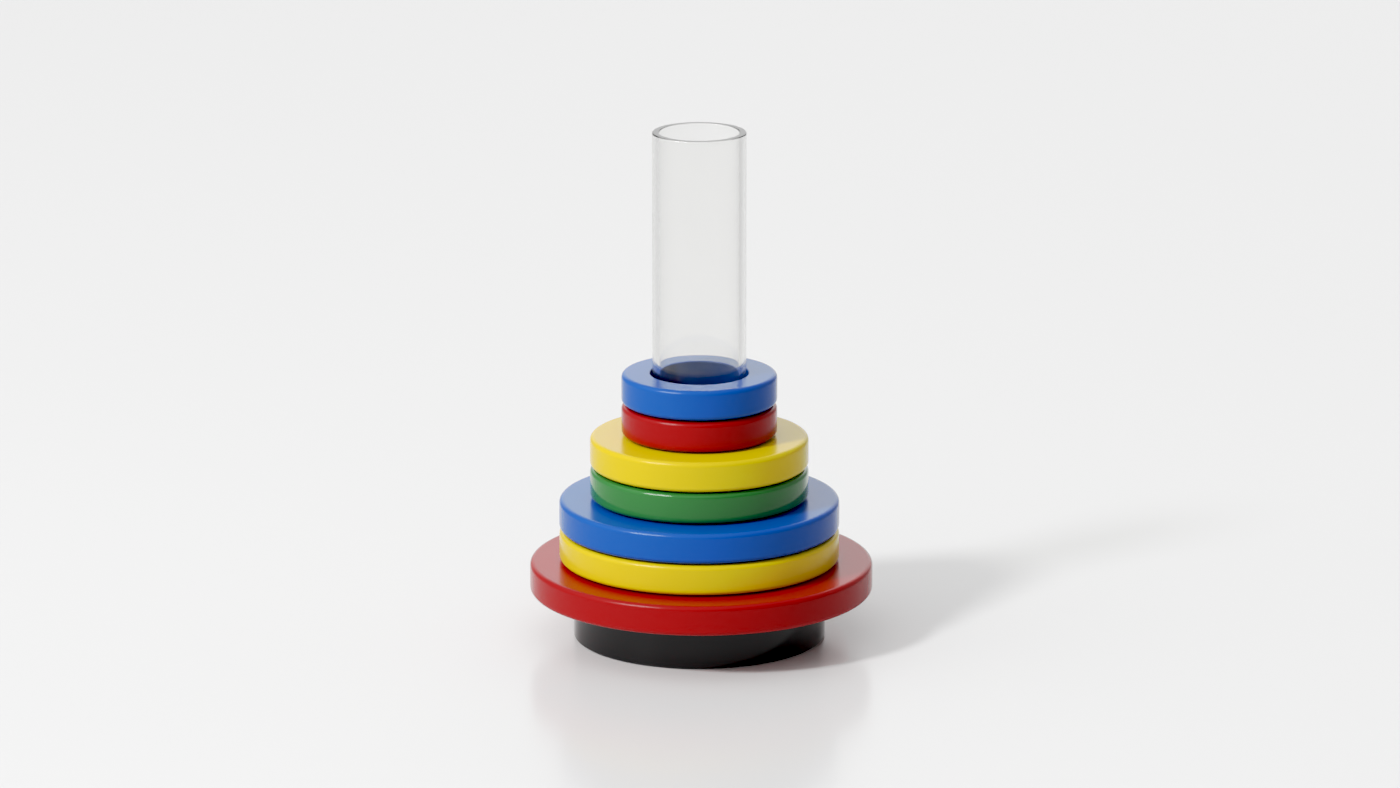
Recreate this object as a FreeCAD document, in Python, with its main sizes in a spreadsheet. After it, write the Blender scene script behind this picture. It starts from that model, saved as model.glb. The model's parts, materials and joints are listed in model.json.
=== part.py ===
"""Ring tower puzzle: seven flat rings stacked on a clear tube that stands in a round foot.

Millimetres. The origin is the middle of the foot's underside, and +Z runs up the tube.
Every piece is an object of its own, placed where it sits in the finished tower.
"""

import FreeCAD, Part
import os
import re

import Sketcher
from FreeCAD import Vector

SHEET = "Dimensions"

# Driving dimensions, one cell each.
DIMENSIONS = {
    # clear tube
    "tube_diameter": 40,
    "tube_wall": 3,
    "tower_height": 221,
    "tube_rim_round": 0.6,
    "tube_end_chamfer": 0.3,
    # rings
    "ring_hole": 42,
    "ring_thickness": 13.8,
    "ring_edge_round": 2,
    "ring_hole_round": 0.6,
    "rim_width": 7,
    "rim_lift": 0.8,
    "small_ring": 66.5,
    "medium_ring": 93.5,
    "large_ring": 120,
    "wide_ring": 147,
    "wide_ring_shift": 0.85,
    # foot drum, and the socket for the tube on its top
    "foot_diameter": 108,
    "foot_height": 19.5,
    "foot_wall": 3,
    "foot_top_round": 1,
    "foot_bottom_round": 0.5,
    "foot_lift": 0.4,
    "socket_depth": 7,
    "socket_play": 0.15,
    "socket_wall": 4,
    "socket_floor": 3,
    # what closes and steadies the foot
    "pad_diameter": 100,
    "pad_thickness": 1.5,
    "pad_edge_round": 0.4,
    "cover_thickness": 3,
    "cover_play": 0.2,
    "ballast_hole": 49,
    "ballast_diameter": 82,
    "ballast_chamfer": 1,
    # cover screws and the posts that they bite into
    "screw_count": 4,
    "screw_circle": 93.6,
    "screw_post": 9,
    "screw_shank": 2.9,
    "screw_reach": 10,
    "screw_tip": 1.2,
    "screw_head": 5.6,
    "screw_head_height": 1.6,
    "screw_slot_width": 0.8,
    "screw_slot_depth": 0.9,
    "screw_play": 0.2,
    "counterbore_depth": 1.8,
    # plug that holds the tube upright
    "seat_thickness": 1,
    "seat_play": 0.2,
    "plug_height": 22,
    "plug_play": 0.2,
    "plug_top_chamfer": 1,
    "seal_section": 1.8,
    "seal_play": 0.02,
    "seal_groove_width": 2.4,
    "lower_seal_level": 18.5,
    "upper_seal_level": 28.5,
    # bolt that pulls the plug down
    "insert_diameter": 8,
    "insert_length": 10,
    "insert_waist": 7,
    "insert_waist_height": 2.4,
    "insert_play": 0.1,
    "bolt_diameter": 5,
    "bolt_length": 16,
    "bolt_tip": 0.6,
    "bolt_play": 0.5,
    "bolt_head": 8.5,
    "bolt_head_height": 3,
    "bolt_socket": 3,
    "bolt_socket_depth": 1.6,
    "washer_diameter": 12,
    "washer_thickness": 1,
}

# Levels and sizes that follow from the driving dimensions.
BORE = "(tube_diameter - 2 * tube_wall)"
COVER_TOP = "(pad_thickness + cover_thickness)"
FOOT_CEILING = "(foot_height - foot_wall)"
SOCKET_LEVEL = "(foot_height - socket_depth)"
SOCKET_BASE = "(foot_height - socket_depth - socket_floor)"
TUBE_LEVEL = "(foot_height - socket_depth + seat_thickness)"
SEAL_GROOVE = f"({BORE} - 2 * seal_section - 4 * seal_play)"
HEAD_FACE = f"({SOCKET_BASE} - washer_thickness)"

doc = FreeCAD.newDocument("RingTower")


def make_sheet():
    """The sheet of driving dimensions: name in column A, number in column B."""
    sheet = doc.addObject("Spreadsheet::Sheet", SHEET)
    for row, (name, number) in enumerate(DIMENSIONS.items(), start=1):
        sheet.set(f"A{row}", name)
        sheet.set(f"B{row}", str(number))
        sheet.setAlias(f"B{row}", name)
    doc.recompute()


def bind(target, path, formula):
    """Drive a property from the sheet. Each word but sqrt() names one of the sheet's cells."""
    target.setExpression(path, re.sub(r"\b[a-z]\w*\b(?!\()", SHEET + r".\g<0>", formula))


# ---------------------------------------------------------------- sketches and features


def new_body(label):
    """An empty body for one piece."""
    body = doc.addObject("PartDesign::Body", label)
    body.Label = label
    return body


def new_sketch(body, name, role):
    """An empty sketch on one of the body's own origin planes."""
    sketch = body.newObject("Sketcher::SketchObject", name)
    plane = next(item for item in body.Origin.OriginFeatures if item.Role == role)
    sketch.AttachmentSupport = [(plane, "")]
    sketch.MapMode = "FlatFace"
    return sketch


def constrain(sketch, constraint, formula):
    """Add a sketch dimension that the sheet drives."""
    index = sketch.addConstraint(constraint)
    bind(sketch, f"Constraints[{index}]", formula)


def circles(body, name, diameters, level="0", offset=None):
    """Level sketch of circles with one centre: on the axis, or offset along X."""
    sketch = new_sketch(body, name, "XY_Plane")
    bind(sketch, "AttachmentOffset.Base.z", level)
    for size, diameter in enumerate(diameters, start=1):
        centre = Vector(1 if offset else 0, 0, 0)
        circle = sketch.addGeometry(Part.Circle(centre, Vector(0, 0, 1), size), False)
        if offset:
            sketch.addConstraint(Sketcher.Constraint("PointOnObject", circle, 3, -1))
            constrain(sketch, Sketcher.Constraint("DistanceX", -1, 1, circle, 3, 1), offset)
        else:
            sketch.addConstraint(Sketcher.Constraint("Coincident", circle, 3, -1, 1))
        constrain(sketch, Sketcher.Constraint("Diameter", circle, 2 * size), diameter)
    return sketch


def slot_section(body, name, inner, outer, low, high):
    """Upright rectangle between two diameters and two levels, for turning about the axis."""
    sketch = new_sketch(body, name, "XZ_Plane")
    corners = [Vector(1, 1, 0), Vector(2, 1, 0), Vector(2, 2, 0), Vector(1, 2, 0)]
    for start, end in zip(corners, corners[1:] + corners[:1]):
        sketch.addGeometry(Part.LineSegment(start, end), False)
    for line in range(4):
        sketch.addConstraint(Sketcher.Constraint("Coincident", line, 2, (line + 1) % 4, 1))
        direction = "Vertical" if line % 2 else "Horizontal"
        sketch.addConstraint(Sketcher.Constraint(direction, line))
    constrain(sketch, Sketcher.Constraint("DistanceX", -1, 1, 0, 1, 1), f"{inner} / 2")
    constrain(sketch, Sketcher.Constraint("DistanceX", -1, 1, 0, 2, 2), f"{outer} / 2")
    constrain(sketch, Sketcher.Constraint("DistanceY", -1, 1, 0, 1, 1), low)
    constrain(sketch, Sketcher.Constraint("DistanceY", -1, 1, 2, 1, 2), high)
    return sketch


def pad(body, name, sketch, length):
    """Raise a sketch upwards."""
    feature = body.newObject("PartDesign::Pad", name)
    feature.Profile = sketch
    bind(feature, "Length", length)
    return feature


def pocket(body, name, sketch, depth, upwards=False):
    """Cut a sketch downwards, or upwards from a face that looks down."""
    feature = body.newObject("PartDesign::Pocket", name)
    feature.Profile = sketch
    feature.Reversed = upwards
    bind(feature, "Length", depth)
    return feature


def turn(body, kind, name, sketch):
    """Turn a section once about the tower's axis, as a Revolution or a Groove."""
    feature = body.newObject(f"PartDesign::{kind}", name)
    feature.Profile = sketch
    feature.ReferenceAxis = (sketch, ["V_Axis"])
    feature.Angle = 360
    return feature


def repeat_round(body, name, features):
    """Repeat features about the tower's axis, once for each cover screw."""
    pattern = body.newObject("PartDesign::PolarPattern", name)
    pattern.Originals = features
    pattern.Axis = (features[0].Profile[0], ["N_Axis"])
    pattern.Angle = 360
    bind(pattern, "Occurrences", "screw_count")
    body.Tip = pattern
    return pattern


def circular_edge(feature, pick_radius, pick_height):
    """Name of the full circle with the largest or smallest radius, then level (max or min)."""
    found = []
    for number, edge in enumerate(feature.Shape.Edges, start=1):
        if isinstance(edge.Curve, Part.Circle) and edge.isClosed():
            found.append((round(edge.Curve.Radius, 4), edge.Curve.Center.z, f"Edge{number}"))
    radius = pick_radius(item[0] for item in found)
    level = pick_height(item[1] for item in found if item[0] == radius)
    return next(item[2] for item in found if item[:2] == (radius, level))


def soften(body, kind, name, edges, size):
    """Fillet or Chamfer on the last feature's round edges, given as (radius, level) picks."""
    doc.recompute()
    base = body.Tip
    names = [circular_edge(base, radius, level) for radius, level in edges]
    feature = body.newObject(f"PartDesign::{kind}", name)
    feature.Base = (base, names)
    bind(feature, "Radius" if kind == "Fillet" else "Size", size)
    return feature


def primitive(kind, name, sizes, level="0"):
    """A Part primitive whose properties and height above the floor the sheet drives."""
    item = doc.addObject(f"Part::{kind}", name)
    for path, formula in sizes.items():
        bind(item, path, formula)
    bind(item, "Placement.Base.z", level)
    return item


def fuse(name, shapes):
    """One solid from several that meet."""
    item = doc.addObject("Part::MultiFuse", name)
    item.Shapes = shapes
    return item


def cut(name, base, tool):
    """One solid with another taken out of it."""
    item = doc.addObject("Part::Cut", name)
    item.Base = base
    item.Tool = tool
    return item


# ---------------------------------------------------------------- rings and tube


def stacked_ring(label, diameter, place, shift="0"):
    """Flat ring with rounded edges. Place 0 rests on the foot, place 1 on that ring.

    Under its rim the ring is cut back a little, which leaves a thin gap all around.
    """
    body = new_body(label)
    outline = circles(body, f"{label}_outline", [diameter, "ring_hole"])
    pad(body, f"{label}_blank", outline, "ring_thickness")
    rim = circles(body, f"{label}_rim", [diameter, f"{diameter} - 2 * rim_width"])
    pocket(body, f"{label}_rim_gap", rim, "rim_lift", upwards=True)
    outer_edges = [(max, max), (max, min)]
    soften(body, "Fillet", f"{label}_outer_edges", outer_edges, "ring_edge_round")
    hole_edges = [(min, max), (min, min)]
    soften(body, "Fillet", f"{label}_hole_edges", hole_edges, "ring_hole_round")
    bind(body, "Placement.Base.x", shift)
    bind(body, "Placement.Base.z", f"foot_height + {place} * ring_thickness")
    return body


def clear_tube():
    """Open tube with a rounded rim. Its lower end stands on the seat ring in the socket."""
    body = new_body("clear_tube")
    section = circles(body, "tube_section", ["tube_diameter", BORE], TUBE_LEVEL)
    pad(body, "tube_length", section, f"tower_height - {TUBE_LEVEL}")
    soften(body, "Fillet", "tube_rim", [(max, max), (min, max)], "tube_rim_round")
    soften(body, "Chamfer", "tube_end", [(max, min), (min, min)], "tube_end_chamfer")
    return body


# ---------------------------------------------------------------- foot


def foot_drum():
    """Hollow drum, open below, with the tube's socket on top and posts for the cover."""
    body = new_body("foot_drum")
    outline = circles(body, "drum_outline", ["foot_diameter"], "foot_lift")
    pad(body, "drum_blank", outline, "foot_height - foot_lift")
    soften(body, "Fillet", "drum_top_edge", [(max, max)], "foot_top_round")
    soften(body, "Fillet", "drum_bottom_edge", [(max, min)], "foot_bottom_round")

    cavity = circles(body, "cavity_outline", ["foot_diameter - 2 * foot_wall"], "foot_lift")
    pocket(body, "cavity", cavity, f"{FOOT_CEILING} - foot_lift", upwards=True)

    socket_size = "tube_diameter + 2 * socket_play"
    boss = circles(body, "boss_outline", [f"{socket_size} + 2 * socket_wall"], SOCKET_BASE)
    pad(body, "socket_boss", boss, f"{FOOT_CEILING} - {SOCKET_BASE}")
    socket = circles(body, "socket_outline", [socket_size], "foot_height")
    pocket(body, "socket", socket, "socket_depth")
    bolt_hole = circles(body, "bolt_hole_outline", ["bolt_diameter + bolt_play"], SOCKET_LEVEL)
    pocket(body, "bolt_hole", bolt_hole, "socket_floor")

    place = "screw_circle / 2"
    post = circles(body, "post_outline", ["screw_post"], COVER_TOP, place)
    screw_post = pad(body, "screw_post_first", post, f"{FOOT_CEILING} - {COVER_TOP}")
    pilot = circles(body, "pilot_outline", ["screw_shank + screw_play / 2"], COVER_TOP, place)
    pilot_hole = pocket(body, "pilot_hole", pilot, "screw_reach", upwards=True)
    repeat_round(body, "screw_posts", [screw_post, pilot_hole])
    return body


def bottom_cover():
    """Round plate inside the drum's mouth, with sunk holes for its screws."""
    body = new_body("bottom_cover")
    size = "foot_diameter - 2 * foot_wall - 2 * cover_play"
    outline = circles(body, "cover_outline", [size], "pad_thickness")
    pad(body, "cover_plate", outline, "cover_thickness")
    place = "screw_circle / 2"
    sink = circles(
        body, "sink_outline", ["screw_head + 2 * screw_play"], "pad_thickness", place
    )
    counterbore = pocket(body, "counterbore", sink, "counterbore_depth", upwards=True)
    shank = circles(
        body, "shank_outline", ["screw_shank + 2 * screw_play"], "pad_thickness", place
    )
    shank_hole = pocket(body, "shank_hole", shank, "cover_thickness", upwards=True)
    repeat_round(body, "screw_holes", [counterbore, shank_hole])
    return body


def non_slip_pad():
    """Rubber disc stuck to the cover. The tower stands on it."""
    body = new_body("non_slip_pad")
    pad(body, "pad_disc", circles(body, "pad_outline", ["pad_diameter"]), "pad_thickness")
    soften(body, "Fillet", "pad_edge", [(max, min)], "pad_edge_round")
    return body


def ballast_ring():
    """Steel weight around the socket, held between the cover and the drum's ceiling."""
    body = new_body("ballast_ring")
    outline = circles(body, "ballast_outline", ["ballast_diameter", "ballast_hole"], COVER_TOP)
    pad(body, "ballast_blank", outline, f"{FOOT_CEILING} - {COVER_TOP}")
    edges = [(max, max), (max, min), (min, max), (min, min)]
    soften(body, "Chamfer", "ballast_edges", edges, "ballast_chamfer")
    return body


def cover_screws():
    """The cover's pan-head screws: one piece of several solids, all the same."""
    screws = []
    head_level = f"{COVER_TOP} - cover_thickness + counterbore_depth"
    for number in range(DIMENSIONS["screw_count"]):
        name = f"cover_screw_{number + 1}"
        head = primitive(
            "Cylinder",
            f"{name}_head",
            {"Radius": "screw_head / 2", "Height": "screw_head_height"},
            f"{head_level} - screw_head_height",
        )
        shank = primitive(
            "Cylinder",
            f"{name}_shank",
            {"Radius": "screw_shank / 2", "Height": "screw_reach - screw_tip"},
            head_level,
        )
        tip = primitive(
            "Cone",
            f"{name}_tip",
            {"Radius1": "screw_shank / 2", "Radius2": "screw_shank / 8", "Height": "screw_tip"},
            f"{head_level} + screw_reach - screw_tip",
        )
        slots = []
        for long_side, short_side in (("Length", "Width"), ("Width", "Length")):
            sizes = {
                long_side: "screw_head / 2",
                short_side: "screw_slot_width",
                "Height": "screw_slot_depth",
            }
            slot = primitive(
                "Box", f"{name}_slot_{long_side}", sizes, f"{head_level} - screw_head_height"
            )
            half = {"x": sizes["Length"], "y": sizes["Width"]}
            bind(slot, "Placement.Base.x", f"(screw_circle - {half['x']}) / 2")
            bind(slot, "Placement.Base.y", f"-{half['y']} / 2")
            slots.append(slot)
        for round_part in (head, shank, tip):
            bind(round_part, "Placement.Base.x", "screw_circle / 2")
        blank = fuse(f"{name}_blank", [head, shank, tip])
        screw = cut(name, blank, fuse(f"{name}_cross", slots))
        angle = 360 * number / DIMENSIONS["screw_count"]
        screw.Placement = FreeCAD.Placement(Vector(), FreeCAD.Rotation(Vector(0, 0, 1), angle))
        screws.append(screw)
    group = doc.addObject("Part::Compound", "cover_screws")
    group.Links = screws
    return group


# ---------------------------------------------------------------- what holds the tube


def tube_seat_ring():
    """Soft washer on the socket's floor, under the tube's lower end."""
    body = new_body("tube_seat_ring")
    sizes = ["tube_diameter - seat_play", f"{BORE} + 2 * seat_play"]
    outline = circles(body, "seat_outline", sizes, SOCKET_LEVEL)
    pad(body, "seat_disc", outline, "seat_thickness")
    return body


def tube_plug():
    """Plug inside the tube's lower end, grooved for two seals and bored for the insert."""
    body = new_body("tube_plug")
    size = f"{BORE} - 2 * plug_play"
    pad(body, "plug_blank", circles(body, "plug_outline", [size], SOCKET_LEVEL), "plug_height")
    soften(body, "Chamfer", "plug_top_edge", [(max, max)], "plug_top_chamfer")
    for name in ("lower_seal", "upper_seal"):
        level = f"{name}_level"
        low = f"{level} - seal_groove_width / 2"
        high = f"{level} + seal_groove_width / 2"
        section = slot_section(body, f"{name}_section", SEAL_GROOVE, "tube_diameter", low, high)
        turn(body, "Groove", f"{name}_groove", section)
    seat = circles(body, "insert_seat", ["insert_diameter + insert_play"], SOCKET_LEVEL)
    pocket(body, "insert_hole", seat, "insert_length", upwards=True)
    end = circles(body, "bolt_end", ["bolt_diameter + bolt_play"], SOCKET_LEVEL)
    pocket(body, "bolt_end_hole", end, "bolt_length", upwards=True)
    return body


def o_ring(label, level):
    """Rubber ring of round section between a groove of the plug and the tube's bore."""
    body = new_body(label)
    sketch = new_sketch(body, f"{label}_section", "XZ_Plane")
    circle = sketch.addGeometry(Part.Circle(Vector(2, 1, 0), Vector(0, 0, 1), 1), False)
    middle = f"({BORE} - seal_section - 2 * seal_play) / 2"
    constrain(sketch, Sketcher.Constraint("DistanceX", -1, 1, circle, 3, 2), middle)
    constrain(sketch, Sketcher.Constraint("DistanceY", -1, 1, circle, 3, 1), level)
    constrain(sketch, Sketcher.Constraint("Diameter", circle, 2), "seal_section")
    turn(body, "Revolution", f"{label}_turned", sketch)
    return body


def plug_insert():
    """Threaded brass sleeve pressed into the plug, with a waist that the plastic grips."""
    body = new_body("plug_insert")
    sizes = ["insert_diameter", "bolt_diameter + insert_play"]
    outline = circles(body, "insert_outline", sizes, SOCKET_LEVEL)
    pad(body, "insert_sleeve", outline, "insert_length")
    middle = f"{SOCKET_LEVEL} + insert_length / 2"
    low = f"{middle} - insert_waist_height / 2"
    high = f"{middle} + insert_waist_height / 2"
    waist = slot_section(body, "waist_section", "insert_waist", "2 * insert_waist", low, high)
    turn(body, "Groove", "insert_waist_groove", waist)
    return body


def plug_screw():
    """Cap screw that comes up through the socket's floor, with a hexagon socket below."""
    head_bottom = f"{HEAD_FACE} - bolt_head_height"
    head = primitive(
        "Cylinder",
        "bolt_head_blank",
        {"Radius": "bolt_head / 2", "Height": "bolt_head_height"},
        head_bottom,
    )
    shank = primitive(
        "Cylinder",
        "bolt_shank",
        {"Radius": "bolt_diameter / 2", "Height": "bolt_length - bolt_tip"},
        HEAD_FACE,
    )
    tip = primitive(
        "Cone",
        "bolt_point",
        {"Radius1": "bolt_diameter / 2", "Radius2": "bolt_diameter / 2 - bolt_tip",
         "Height": "bolt_tip"},
        f"{HEAD_FACE} + bolt_length - bolt_tip",
    )
    socket = primitive(
        "Prism",
        "bolt_socket_tool",
        {"Circumradius": "bolt_socket / sqrt(3)", "Height": "bolt_socket_depth"},
        head_bottom,
    )
    socket.Polygon = 6
    return cut("plug_screw", fuse("bolt_blank", [head, shank, tip]), socket)


def plug_washer():
    """Flat washer between the screw's head and the underside of the socket."""
    disc = primitive(
        "Cylinder",
        "washer_disc",
        {"Radius": "washer_diameter / 2", "Height": "washer_thickness"},
        HEAD_FACE,
    )
    hole = primitive(
        "Cylinder",
        "washer_hole",
        {"Radius": "(bolt_diameter + bolt_play) / 2", "Height": "washer_thickness"},
        HEAD_FACE,
    )
    return cut("plug_washer", disc, hole)


# ---------------------------------------------------------------- build, check and write


def check_document(pieces):
    """Stop if any object failed, or any piece is empty or not a valid closed shape."""
    for item in doc.Objects:
        if "Invalid" in item.State or "Error" in item.State:
            raise RuntimeError(f"{item.Label} failed: {item.State}")
    for piece in pieces:
        shape = piece.Shape
        if shape.isNull() or not shape.isValid() or not shape.Solids:
            raise RuntimeError(f"{piece.Label} has no valid solid")
        print(f"{piece.Label:20s} {len(shape.Solids)} solid(s) {shape.Volume:12.1f} mm3")


def write_steps(pieces):
    """One STEP file for each piece, named by its label."""
    os.makedirs("parts", exist_ok=True)
    for piece in pieces:
        piece.Shape.exportStep(f"parts/{piece.Label}.step")


make_sheet()
tower = [
    stacked_ring("wide_red_ring", "wide_ring", 0, "wide_ring_shift"),
    stacked_ring("large_yellow_ring", "large_ring", 1),
    stacked_ring("large_blue_ring", "large_ring", 2),
    stacked_ring("medium_green_ring", "medium_ring", 3),
    stacked_ring("medium_yellow_ring", "medium_ring", 4),
    stacked_ring("small_red_ring", "small_ring", 5),
    stacked_ring("small_blue_ring", "small_ring", 6),
    clear_tube(),
    foot_drum(),
    bottom_cover(),
    non_slip_pad(),
    ballast_ring(),
    cover_screws(),
    tube_seat_ring(),
    tube_plug(),
    o_ring("lower_o_ring", "lower_seal_level"),
    o_ring("upper_o_ring", "upper_seal_level"),
    plug_insert(),
    plug_screw(),
    plug_washer(),
]
doc.recompute()
check_document(tower)
write_steps(tower)
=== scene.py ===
import json
import math

import bmesh
import bpy
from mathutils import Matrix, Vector


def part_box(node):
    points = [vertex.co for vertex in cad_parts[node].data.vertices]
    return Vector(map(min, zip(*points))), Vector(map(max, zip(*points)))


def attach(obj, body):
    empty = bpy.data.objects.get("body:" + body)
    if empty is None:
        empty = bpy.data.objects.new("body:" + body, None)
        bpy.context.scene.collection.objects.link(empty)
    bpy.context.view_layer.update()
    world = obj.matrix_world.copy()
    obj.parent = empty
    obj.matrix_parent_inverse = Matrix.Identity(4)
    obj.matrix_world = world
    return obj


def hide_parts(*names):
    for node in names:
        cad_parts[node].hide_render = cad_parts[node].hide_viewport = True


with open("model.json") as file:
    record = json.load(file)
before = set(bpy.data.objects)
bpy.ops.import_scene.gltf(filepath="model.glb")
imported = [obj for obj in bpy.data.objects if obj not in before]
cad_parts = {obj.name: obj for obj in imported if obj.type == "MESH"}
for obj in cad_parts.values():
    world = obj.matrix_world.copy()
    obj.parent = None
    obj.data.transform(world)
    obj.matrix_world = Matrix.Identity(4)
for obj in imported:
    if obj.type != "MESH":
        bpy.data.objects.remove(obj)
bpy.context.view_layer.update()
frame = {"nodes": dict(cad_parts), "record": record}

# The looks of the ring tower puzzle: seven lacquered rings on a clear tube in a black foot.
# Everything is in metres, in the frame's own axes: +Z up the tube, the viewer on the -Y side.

MM = 0.001

# Each ring's node and its lacquer colour, from the bottom of the stack up.
RINGS = {
    "wide_red_ring": "red",
    "large_yellow_ring": "yellow",
    "large_blue_ring": "blue",
    "medium_green_ring": "green",
    "medium_yellow_ring": "yellow",
    "small_red_ring": "red",
    "small_blue_ring": "blue",
}
RING_HOLE_RADIUS = 21.0 * MM
RING_EDGE_ROUND = 2.0 * MM
RING_HOLE_ROUND = 0.6 * MM
RING_RIM_WIDTH = 7.0 * MM
RING_RIM_LIFT = 0.8 * MM
RING_STEP_ROUND = 0.1 * MM
TUBE_WALL = 3.0 * MM
TUBE_RIM_ROUND = 0.6 * MM
TUBE_END_ROUND = 0.3 * MM

# Turned pieces: points around the axis, points along each rounded corner, and the longest
# step along a straight stretch. A support point close to each corner keeps flats flat.
TURN_STEPS = 288
CORNER_STEPS = 10
LONGEST_STEP = 4.0 * MM
SUPPORT_STEP = 0.12 * MM

# Camera: long lens, a little above the horizon, aimed at the tower's axis.
LENS_MM = 175.0
SENSOR_MM = 36.0
CAMERA_REACH = 200.0
CAMERA_DISTANCE = 2.905
CAMERA_PITCH = math.radians(14.66)
AIM_POINT = Vector((0.3 * MM, 0.0, 106.5 * MM))

FLOOR_SIZE = 60.0

# Lights. Each aim is an azimuth, in degrees right of the viewer's side, and an elevation.
KEY_AIM = (-51, 39)
KEY_DISTANCE = 4.5
KEY_SIZE = 0.68
KEY_POWER = 174
GLINT_SIZE = 2.2
GLINT_POWER = 225
# Surroundings: how bright they are overall, and the areas that are brighter, each by its aim,
# the cosine of the angle out to its rim, and how much it adds where it is aimed.
SURROUNDINGS = 0.04
BRIGHT_AREAS = [
    ((180, 22), 0.78, 1.55),
    ((-45, 55), 0.32, 1.2),
    ((-95, 15), 0.30, 0.6),
    ((130, 30), 0.35, 0.5),
]

# Tone of the picture, in linear light: the black point, the knee above which highlights rise
# more slowly, how slowly they rise, and the brightest light that the tone curve reaches.
BLACK_LEVEL = 0.014
KNEE = 0.42
HIGHLIGHT_SLOPE = 0.57
BRIGHTEST = 1.5


# ---------------------------------------------------------------- turned meshes


def corner_arc(before, corner, after, radius):
    """Points of a round of this radius at a square corner between two straight stretches."""
    into = (corner - before).normalized()
    out = (after - corner).normalized()
    start = corner - into * radius
    centre = start + out * radius
    points = []
    for step in range(CORNER_STEPS + 1):
        angle = math.pi / 2 * step / CORNER_STEPS
        points.append(centre - out * radius * math.cos(angle) + into * radius * math.sin(angle))
    return points


def straight_steps(start, end):
    """Points between two ends of a straight stretch, with a support point near each end."""
    length = (end - start).length
    along = (end - start) / length
    if length < 4 * SUPPORT_STEP:
        return []
    inner = length - 2 * SUPPORT_STEP
    count = max(1, math.ceil(inner / LONGEST_STEP))
    return [start + along * (SUPPORT_STEP + inner * step / count) for step in range(count + 1)]


def rounded_outline(corners):
    """Closed outline through (radius, height, round) corners, each corner rounded."""
    points = [Vector((radius, height)) for radius, height, _ in corners]
    arcs = []
    for index, (_, _, size) in enumerate(corners):
        after = points[(index + 1) % len(points)]
        arcs.append(corner_arc(points[index - 1], points[index], after, size))
    outline = []
    for arc, following in zip(arcs, arcs[1:] + arcs[:1]):
        outline += arc + straight_steps(arc[-1], following[0])
    return outline


def turned_mesh(name, outline, centre):
    """A smooth solid made by turning a closed outline about a vertical line at centre."""
    mesh_builder = bmesh.new()
    loops = []
    for step in range(TURN_STEPS):
        angle = 2 * math.pi * step / TURN_STEPS
        cosine, sine = math.cos(angle), math.sin(angle)
        loops.append([
            mesh_builder.verts.new((centre.x + r * cosine, centre.y + r * sine, z))
            for r, z in outline
        ])
    for here, there in zip(loops, loops[1:] + loops[:1]):
        for index in range(len(outline)):
            previous = index - 1
            mesh_builder.faces.new(
                (here[previous], there[previous], there[index], here[index])
            )
    bmesh.ops.recalc_face_normals(mesh_builder, faces=mesh_builder.faces)
    mesh = bpy.data.meshes.new(name)
    mesh_builder.to_mesh(mesh)
    mesh_builder.free()
    mesh.shade_smooth()
    piece = bpy.data.objects.new(name, mesh)
    bpy.context.scene.collection.objects.link(piece)
    return piece


def body_of(node):
    """The name of the body that a node belongs to."""
    bodies = frame["record"]["behaviour"]["bodies"]
    return next(body for body, members in bodies.items() if node in members)


def slot_of(node):
    """The record's material slot of a node."""
    subparts = frame["record"]["subparts"]
    return next(part["material_slot"] for part in subparts if part["node"] == node)


def stand_for(piece, node, material):
    """Give a new piece its material, and let it take its CAD node's place."""
    piece.data.materials.append(material)
    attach(piece, body_of(node))
    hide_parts(node)


def round_size(node):
    """The centre, outside radius, bottom and top of a round upright CAD node."""
    low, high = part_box(node)
    return (low + high) / 2, (high.y - low.y) / 2, low.z, high.z


def make_ring(node, material):
    """A flat ring with well rounded outer edges, cut back a little under its rim."""
    centre, radius, bottom, top = round_size(node)
    step = radius - RING_RIM_WIDTH
    rim_level = bottom + RING_RIM_LIFT
    outline = rounded_outline([
        (RING_HOLE_RADIUS, bottom, RING_HOLE_ROUND),
        (step, bottom, RING_STEP_ROUND),
        (step, rim_level, RING_STEP_ROUND),
        (radius, rim_level, RING_EDGE_ROUND),
        (radius, top, RING_EDGE_ROUND),
        (RING_HOLE_RADIUS, top, RING_HOLE_ROUND),
    ])
    stand_for(turned_mesh(f"{node}_turned", outline, centre), node, material)


def make_tube(node, material):
    """The clear tube, open at both ends, with a softly rounded rim."""
    centre, outer, bottom, top = round_size(node)
    inner = outer - TUBE_WALL
    outline = rounded_outline([
        (inner, bottom, TUBE_END_ROUND),
        (outer, bottom, TUBE_END_ROUND),
        (outer, top, TUBE_RIM_ROUND),
        (inner, top, TUBE_RIM_ROUND),
    ])
    stand_for(turned_mesh(f"{node}_turned", outline, centre), node, material)


# ---------------------------------------------------------------- materials


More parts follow.
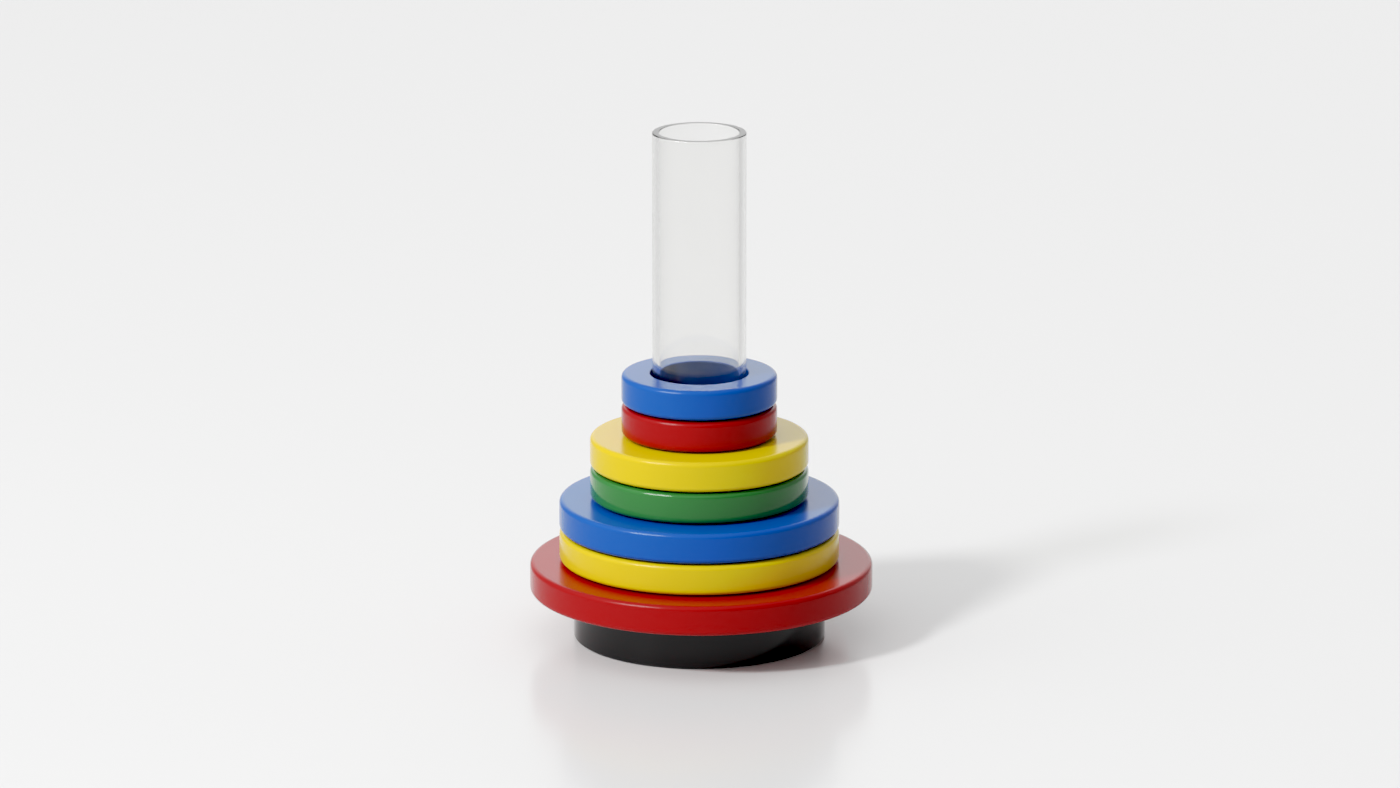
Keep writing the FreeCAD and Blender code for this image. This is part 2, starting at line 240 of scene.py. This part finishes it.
class Surface:
    """A material being built: its node tree, its Principled shader and object coordinates."""

    def __init__(self, name):
        self.material = bpy.data.materials.new(name)
        self.material.use_nodes = True
        self.nodes = self.material.node_tree.nodes
        self.links = self.material.node_tree.links
        self.shader = self.nodes["Principled BSDF"]
        self.output = self.nodes["Material Output"]
        self.coordinates = self.nodes.new("ShaderNodeTexCoord").outputs["Object"]

    def give(self, name, value):
        """Link an input of the shader to a node's output, or set it to a number."""
        socket = self.shader.inputs[name]
        if isinstance(value, bpy.types.NodeSocket):
            self.links.new(value, socket)
        else:
            socket.default_value = value

    def noise(self, scale, detail=2.0):
        """A noise texture from 0 to 1. Scale is in cycles per metre."""
        texture = self.nodes.new("ShaderNodeTexNoise")
        texture.inputs["Scale"].default_value = scale
        texture.inputs["Detail"].default_value = detail
        self.links.new(self.coordinates, texture.inputs["Vector"])
        return texture.outputs["Fac"]

    def spread_over(self, noise, low, high):
        """A number that runs from low to high with the noise."""
        spread = self.nodes.new("ShaderNodeMapRange")
        spread.inputs["To Min"].default_value = low
        spread.inputs["To Max"].default_value = high
        self.links.new(noise, spread.inputs["Value"])
        return spread.outputs["Result"]

    def tint(self, noise, colour, spread):
        """A colour that runs a little darker and lighter with the noise."""
        mix = self.nodes.new("ShaderNodeMix")
        mix.data_type = "RGBA"
        mix.inputs["A"].default_value = (*(channel * (1 - spread) for channel in colour), 1)
        mix.inputs["B"].default_value = (*(channel * (1 + spread) for channel in colour), 1)
        self.links.new(noise, mix.inputs["Factor"])
        return mix.outputs["Result"]

    def bump(self, noise, depth):
        """A bump that follows the noise. Depth is in metres."""
        bump = self.nodes.new("ShaderNodeBump")
        bump.inputs["Distance"].default_value = depth
        self.links.new(noise, bump.inputs["Height"])
        return bump.outputs["Normal"]


def lacquer(name, colour, roughness, index):
    """Sprayed satin lacquer: faint orange peel, and gloss that varies a little."""
    surface = Surface(name)
    cloud = surface.noise(scale=60)
    peel = surface.noise(scale=700)
    surface.give("Base Color", surface.tint(cloud, colour, spread=0.03))
    surface.give("Roughness", surface.spread_over(cloud, 0.9 * roughness, 1.1 * roughness))
    surface.give("Normal", surface.bump(peel, depth=0.002 * MM))
    surface.give("IOR", index)
    return surface.material


def clear_acrylic(name, colour, index):
    """Clear polished plastic, a little dark in its depth."""
    surface = Surface(name)
    streaks = surface.noise(scale=40)
    surface.give("Base Color", surface.tint(streaks, colour, spread=0.01))
    surface.give("Roughness", surface.spread_over(streaks, 0.0, 0.02))
    surface.give("IOR", index)
    surface.give("Transmission Weight", 1.0)
    depth = surface.nodes.new("ShaderNodeVolumeAbsorption")
    depth.inputs["Color"].default_value = (0.12, 0.10, 0.0, 1)
    depth.inputs["Density"].default_value = 8.0
    surface.links.new(depth.outputs["Volume"], surface.output.inputs["Volume"])
    pass_light(surface, lamp_share=(0.88, 0.88, 0.87), soft_share=(0.30, 0.30, 0.30))
    return surface.material


def pass_light(surface, lamp_share, soft_share):
    """Let these shares of the lamps' light and of soft light straight through each face."""
    nodes, links = surface.nodes, surface.links
    path = nodes.new("ShaderNodeLightPath")
    share = nodes.new("ShaderNodeMix")
    share.data_type = "RGBA"
    share.inputs["A"].default_value = (*lamp_share, 1)
    share.inputs["B"].default_value = (*soft_share, 1)
    links.new(path.outputs["Is Diffuse Ray"], share.inputs["Factor"])
    see_through = nodes.new("ShaderNodeBsdfTransparent")
    links.new(share.outputs["Result"], see_through.inputs["Color"])
    lighting = nodes.new("ShaderNodeMath")
    lighting.operation = "MAXIMUM"
    links.new(path.outputs["Is Shadow Ray"], lighting.inputs[0])
    links.new(path.outputs["Is Diffuse Ray"], lighting.inputs[1])
    mix = nodes.new("ShaderNodeMixShader")
    links.new(lighting.outputs["Value"], mix.inputs["Fac"])
    links.new(surface.shader.outputs["BSDF"], mix.inputs[1])
    links.new(see_through.outputs["BSDF"], mix.inputs[2])
    links.new(mix.outputs["Shader"], surface.output.inputs["Surface"])


def moulded_plastic(name, colour, roughness, index):
    """Satin moulded plastic with a fine spark-eroded grain."""
    surface = Surface(name)
    cloud = surface.noise(scale=80)
    grain = surface.noise(scale=2500, detail=4.0)
    surface.give("Base Color", surface.tint(cloud, colour, spread=0.08))
    surface.give("Roughness", surface.spread_over(grain, 0.85 * roughness, 1.15 * roughness))
    surface.give("Normal", surface.bump(grain, depth=0.0008 * MM))
    surface.give("IOR", index)
    return surface.material


def rubber(name, colour):
    """Matt rubber with a fine, slightly dusty skin."""
    surface = Surface(name)
    dust = surface.noise(scale=300, detail=5.0)
    skin = surface.noise(scale=3500, detail=3.0)
    surface.give("Base Color", surface.tint(dust, colour, spread=0.25))
    surface.give("Roughness", surface.spread_over(dust, 0.65, 0.85))
    surface.give("Normal", surface.bump(skin, depth=0.01 * MM))
    return surface.material


def metal(name, colour, roughness):
    """Plated or turned metal, slightly clouded, with fine marks."""
    surface = Surface(name)
    cloud = surface.noise(scale=200, detail=4.0)
    marks = surface.noise(scale=900, detail=3.0)
    surface.give("Base Color", surface.tint(cloud, colour, spread=0.06))
    surface.give("Roughness", surface.spread_over(marks, 0.7 * roughness, 1.3 * roughness))
    surface.give("Normal", surface.bump(marks, depth=0.002 * MM))
    surface.give("Metallic", 1.0)
    return surface.material


def painted_floor(name, colour, roughness, index):
    """Smooth pale floor paint with very faint clouds."""
    surface = Surface(name)
    cloud = surface.noise(scale=3)
    surface.give("Base Color", surface.tint(cloud, colour, spread=0.005))
    surface.give("Roughness", roughness)
    surface.give("IOR", index)
    return surface.material


LACQUERS = {
    "red": lacquer("red_lacquer", (0.305, 0.006, 0.006), 0.20, 1.26),
    "yellow": lacquer("yellow_lacquer", (0.66, 0.47, 0.012), 0.20, 1.29),
    "blue": lacquer("blue_lacquer", (0.008, 0.083, 0.37), 0.20, 1.30),
    "green": lacquer("green_lacquer", (0.026, 0.161, 0.032), 0.08, 1.42),
}
CLEAR = clear_acrylic("clear_acrylic", (0.985, 0.985, 0.98), 1.49)
CARRIED_OVER = {
    "black_plastic": moulded_plastic("black_plastic", (0.0035, 0.0035, 0.004), 0.10, 1.44),
    "black_rubber": rubber("black_rubber", (0.016, 0.016, 0.016)),
    "zinc_plated_steel": metal("zinc_plated_steel", (0.62, 0.62, 0.64), 0.28),
    "brass": metal("brass", (0.80, 0.56, 0.22), 0.24),
}
FLOOR_PAINT = painted_floor("pale_floor", (0.75, 0.75, 0.75), 0.20, 1.30)


# ---------------------------------------------------------------- floor, light and camera


def make_floor(material):
    """A floor large enough to fill every view."""
    bpy.ops.mesh.primitive_plane_add(size=FLOOR_SIZE)
    floor = bpy.context.object
    floor.name = "floor"
    floor.data.materials.append(material)


def heading(azimuth, elevation):
    """Unit vector at degrees right of the viewer's side (-Y) and degrees above the floor."""
    turn, rise = math.radians(azimuth), math.radians(elevation)
    level = math.cos(rise)
    return Vector((level * math.sin(turn), -level * math.cos(turn), math.sin(rise)))


def make_world():
    """Dim surroundings with a few broad bright areas, each brightest at its aim."""
    world = bpy.data.worlds.new("studio")
    world.use_nodes = True
    nodes, links = world.node_tree.nodes, world.node_tree.links
    coordinates = nodes.new("ShaderNodeTexCoord")
    strength = nodes.new("ShaderNodeValue").outputs["Value"]
    strength.default_value = SURROUNDINGS
    for aim, rim, brightness in BRIGHT_AREAS:
        cosine = nodes.new("ShaderNodeVectorMath")
        cosine.operation = "DOT_PRODUCT"
        cosine.inputs[1].default_value = heading(*aim)
        links.new(coordinates.outputs["Generated"], cosine.inputs[0])
        area = nodes.new("ShaderNodeMapRange")
        area.interpolation_type = "SMOOTHSTEP"
        area.inputs["From Min"].default_value = rim
        area.inputs["To Max"].default_value = brightness
        links.new(cosine.outputs["Value"], area.inputs["Value"])
        total = nodes.new("ShaderNodeMath")
        links.new(area.outputs["Result"], total.inputs[0])
        links.new(strength, total.inputs[1])
        strength = total.outputs["Value"]
    links.new(strength, nodes["Background"].inputs["Strength"])
    nodes["Background"].inputs["Color"].default_value = (1, 1, 1, 1)
    bpy.context.scene.world = world


def make_lamp(name, size, power):
    """A round soft box at the front left, aimed at the tower."""
    light = bpy.data.lights.new(name, "AREA")
    light.shape = "DISK"
    light.size = size
    light.energy = power
    lamp = bpy.data.objects.new(name, light)
    direction = heading(*KEY_AIM)
    lamp.location = AIM_POINT + direction * KEY_DISTANCE
    lamp.rotation_euler = direction.to_track_quat("Z", "Y").to_euler()
    bpy.context.scene.collection.objects.link(lamp)
    return lamp


def make_lamps():
    """The key lamp, which lights the tower, and a larger one that shows only as its glints."""
    key = make_lamp("key", KEY_SIZE, KEY_POWER)
    key.visible_glossy = False
    glint = make_lamp("glint", GLINT_SIZE, GLINT_POWER)
    glint.visible_diffuse = False


def make_camera():
    """The camera in front of the tower, looking slightly down."""
    data = bpy.data.cameras.new("camera")
    data.lens = LENS_MM
    data.sensor_width = SENSOR_MM
    data.clip_end = CAMERA_REACH
    camera = bpy.data.objects.new("camera", data)
    back = Vector((0, -math.cos(CAMERA_PITCH), math.sin(CAMERA_PITCH)))
    camera.location = AIM_POINT + back * CAMERA_DISTANCE
    camera.rotation_euler = (-back).to_track_quat("-Z", "Y").to_euler()
    bpy.context.scene.collection.objects.link(camera)
    bpy.context.scene.camera = camera


def set_tone():
    """Deep blacks, and highlights held back above the knee so that they keep their colour."""
    display = bpy.context.scene.view_settings
    display.view_transform = "Standard"
    display.use_curve_mapping = True
    mapping = display.curve_mapping
    mapping.black_level = (BLACK_LEVEL, BLACK_LEVEL, BLACK_LEVEL)
    mapping.use_clip = False
    curve = mapping.curves[3]
    curve.points[1].location = (BRIGHTEST, KNEE + HIGHLIGHT_SLOPE * (BRIGHTEST - KNEE))
    curve.points.new(KNEE, KNEE)
    for point in curve.points:
        point.handle_type = "VECTOR"
    mapping.update()


# ---------------------------------------------------------------- the scene

for ring_node, colour_name in RINGS.items():
    make_ring(ring_node, LACQUERS[colour_name])
make_tube("clear_tube", CLEAR)

for node_name, cad_object in frame["nodes"].items():
    if slot_of(node_name) in CARRIED_OVER:
        cad_object.data.materials.clear()
        cad_object.data.materials.append(CARRIED_OVER[slot_of(node_name)])

make_floor(FLOOR_PAINT)
make_world()
make_lamps()
make_camera()
set_tone()
